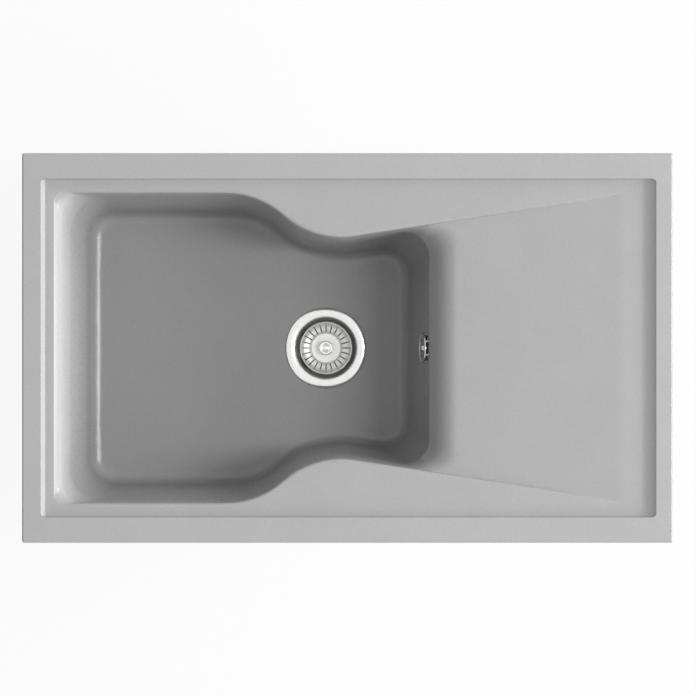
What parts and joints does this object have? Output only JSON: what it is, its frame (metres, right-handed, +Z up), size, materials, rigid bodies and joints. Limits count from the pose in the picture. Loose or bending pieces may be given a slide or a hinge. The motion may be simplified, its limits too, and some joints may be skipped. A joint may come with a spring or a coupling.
{
  "type": "kitchen sink with drainboard",
  "caption": "Inset kitchen sink with one waisted bowl, a sloping drainer, a basket strainer waste, a rosette overflow with hose, and swing-out fixing clips.",
  "frame": {"origin": "centre of the sink's outline on the worktop plane, which is the underside of the rim", "axes": "+X towards the drainer end, +Y to the rear, +Z up"},
  "size_m": [0.86, 0.515, 0.292],
  "materials": {
    "granite_composite": "fine matt grain, pale grey",
    "stainless_steel": "satin",
    "chrome_plate": "polished",
    "clip_steel": "zinc plated",
    "brass_insert": "turned",
    "waste_plastic": "moulded, white",
    "hose_plastic": "moulded, grey",
    "plug_plastic": "moulded, black",
    "seal_rubber": "matt"
  },
  "bodies": {
    "sink": {"sink_body": "granite_composite", "rim_seal": "seal_rubber", "waste_flange": "stainless_steel", "flange_seal": "seal_rubber", "body_seal": "seal_rubber", "waste_body": "waste_plastic", "clamp_screw": "stainless_steel", "clamp_nut": "brass_insert", "overflow_rosette": "chrome_plate", "overflow_screw": "chrome_plate", "overflow_gasket": "seal_rubber", "overflow_elbow": "waste_plastic", "overflow_hose": "hose_plastic", "hose_nut_upper": "waste_plastic", "hose_nut_lower": "waste_plastic", "cone_seal_upper": "seal_rubber", "cone_seal_lower": "seal_rubber", "clip_anchors": "plug_plastic"},
    "strainer": {"basket": "stainless_steel", "basket_knob": "stainless_steel", "basket_plug": "plug_plastic", "basket_seal": "seal_rubber"},
    "clip_1_clamp": {"clip_1_screw": "clip_steel"},
    "clip_1_claw": {"clip_1_claw": "clip_steel"},
    "clip_2_clamp": {"clip_2_screw": "clip_steel"},
    "clip_2_claw": {"clip_2_claw": "clip_steel"},
    "clip_3_clamp": {"clip_3_screw": "clip_steel"},
    "clip_3_claw": {"clip_3_claw": "clip_steel"},
    "clip_4_clamp": {"clip_4_screw": "clip_steel"},
    "clip_4_claw": {"clip_4_claw": "clip_steel"},
    "clip_5_clamp": {"clip_5_screw": "clip_steel"},
    "clip_5_claw": {"clip_5_claw": "clip_steel"},
    "clip_6_clamp": {"clip_6_screw": "clip_steel"},
    "clip_6_claw": {"clip_6_claw": "clip_steel"},
    "clip_7_clamp": {"clip_7_screw": "clip_steel"},
    "clip_7_claw": {"clip_7_claw": "clip_steel"},
    "clip_8_clamp": {"clip_8_screw": "clip_steel"},
    "clip_8_claw": {"clip_8_claw": "clip_steel"}
  },
  "joints": [
    {"name": "basket_lift", "type": "slide", "parent": "sink", "child": "strainer", "axis": [0, 0, 1], "range_m": [0, 0.24]},
    {"name": "clip_1_travel", "type": "slide", "parent": "sink", "child": "clip_1_clamp", "axis": [0, 0, 1], "range_m": [0, 0.014]},
    {"name": "clip_1_swing", "type": "hinge", "parent": "clip_1_clamp", "child": "clip_1_claw", "pos_m": [-0.3, 0.226, -0.0475], "axis": [0, 0, 1], "range_deg": [0, 90]},
    {"name": "clip_2_travel", "type": "slide", "parent": "sink", "child": "clip_2_clamp", "axis": [0, 0, 1], "range_m": [0, 0.014]},
    {"name": "clip_2_swing", "type": "hinge", "parent": "clip_2_clamp", "child": "clip_2_claw", "pos_m": [0.06, 0.226, -0.0475], "axis": [0, 0, 1], "range_deg": [0, 90]},
    {"name": "clip_3_travel", "type": "slide", "parent": "sink", "child": "clip_3_clamp", "axis": [0, 0, 1], "range_m": [0, 0.014]},
    {"name": "clip_3_swing", "type": "hinge", "parent": "clip_3_clamp", "child": "clip_3_claw", "pos_m": [0.3, 0.226, -0.0475], "axis": [0, 0, 1], "range_deg": [0, 90]},
    {"name": "clip_4_travel", "type": "slide", "parent": "sink", "child": "clip_4_clamp", "axis": [0, 0, 1], "range_m": [0, 0.014]},
    {"name": "clip_4_swing", "type": "hinge", "parent": "clip_4_clamp", "child": "clip_4_claw", "pos_m": [-0.3995, 0, -0.0475], "axis": [0, 0, 1], "range_deg": [0, 90]},
    {"name": "clip_5_travel", "type": "slide", "parent": "sink", "child": "clip_5_clamp", "axis": [0, 0, 1], "range_m": [0, 0.014]},
    {"name": "clip_5_swing", "type": "hinge", "parent": "clip_5_clamp", "child": "clip_5_claw", "pos_m": [-0.3, -0.226, -0.0475], "axis": [0, 0, 1], "range_deg": [0, 90]},
    {"name": "clip_6_travel", "type": "slide", "parent": "sink", "child": "clip_6_clamp", "axis": [0, 0, 1], "range_m": [0, 0.014]},
    {"name": "clip_6_swing", "type": "hinge", "parent": "clip_6_clamp", "child": "clip_6_claw", "pos_m": [0.06, -0.226, -0.0475], "axis": [0, 0, 1], "range_deg": [0, 90]},
    {"name": "clip_7_travel", "type": "slide", "parent": "sink", "child": "clip_7_clamp", "axis": [0, 0, 1], "range_m": [0, 0.014]},
    {"name": "clip_7_swing", "type": "hinge", "parent": "clip_7_clamp", "child": "clip_7_claw", "pos_m": [0.3, -0.226, -0.0475], "axis": [0, 0, 1], "range_deg": [0, 90]},
    {"name": "clip_8_travel", "type": "slide", "parent": "sink", "child": "clip_8_clamp", "axis": [0, 0, 1], "range_m": [0, 0.014]},
    {"name": "clip_8_swing", "type": "hinge", "parent": "clip_8_clamp", "child": "clip_8_claw", "pos_m": [0.3995, 0, -0.0475], "axis": [0, 0, 1], "range_deg": [0, 90]}
  ]
}
